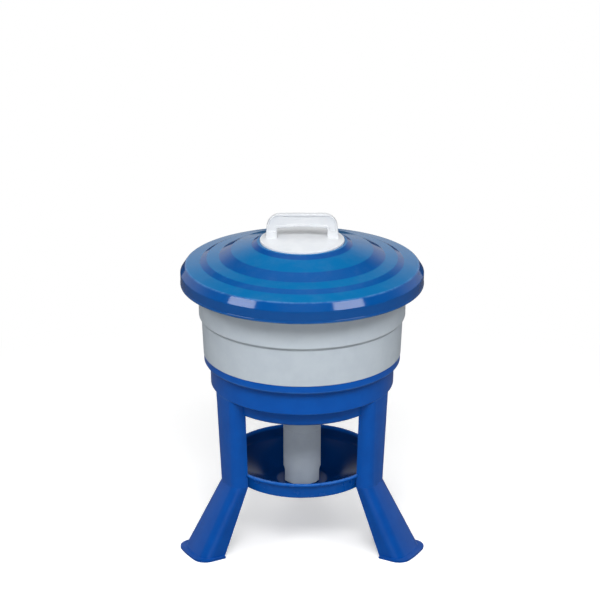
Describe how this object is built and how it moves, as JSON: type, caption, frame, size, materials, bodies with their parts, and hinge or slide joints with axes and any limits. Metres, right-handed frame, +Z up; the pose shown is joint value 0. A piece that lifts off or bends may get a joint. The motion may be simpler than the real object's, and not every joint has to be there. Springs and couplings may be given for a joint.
{
  "type": "poultry drinker",
  "caption": "Gravity poultry drinker: a lidded tank with a carrying handle on a stepped collar, held by splayed hollow legs over a round drinking bowl fed by a central tube",
  "frame": {"origin": "On the drinker's axis at floor level, the centre of the circle on which the three feet stand", "axes": "Z is up along the axis of tank, tube and bowl. Minus Y is the front: the broad side of the handle's grip faces it, and two legs stand beside it. X is to the right, along the grip. The third leg stands at plus Y."},
  "size_m": [0.419, 0.4326, 0.5768],
  "materials": {
    "blue_plastic": "glossy moulded blue plastic",
    "grey_plastic": "satin light grey moulded plastic",
    "white_plastic": "satin white moulded plastic",
    "rubber": "soft black rubber",
    "steel": "plain steel screws"
  },
  "bodies": {
    "root": {"lid": "blue_plastic", "lid_handle": "white_plastic", "handle_washer": "rubber", "handle_nut": "white_plastic", "lid_seal": "rubber", "tank": "grey_plastic", "outlet_neck": "grey_plastic", "tube_seal": "rubber", "outlet_tube": "grey_plastic", "stand": "blue_plastic", "bowl": "blue_plastic", "foot_left": "blue_plastic", "foot_right": "blue_plastic", "foot_rear": "blue_plastic", "screw_left": "steel", "screw_right": "steel", "screw_rear": "steel"}
  },
  "joints": []
}
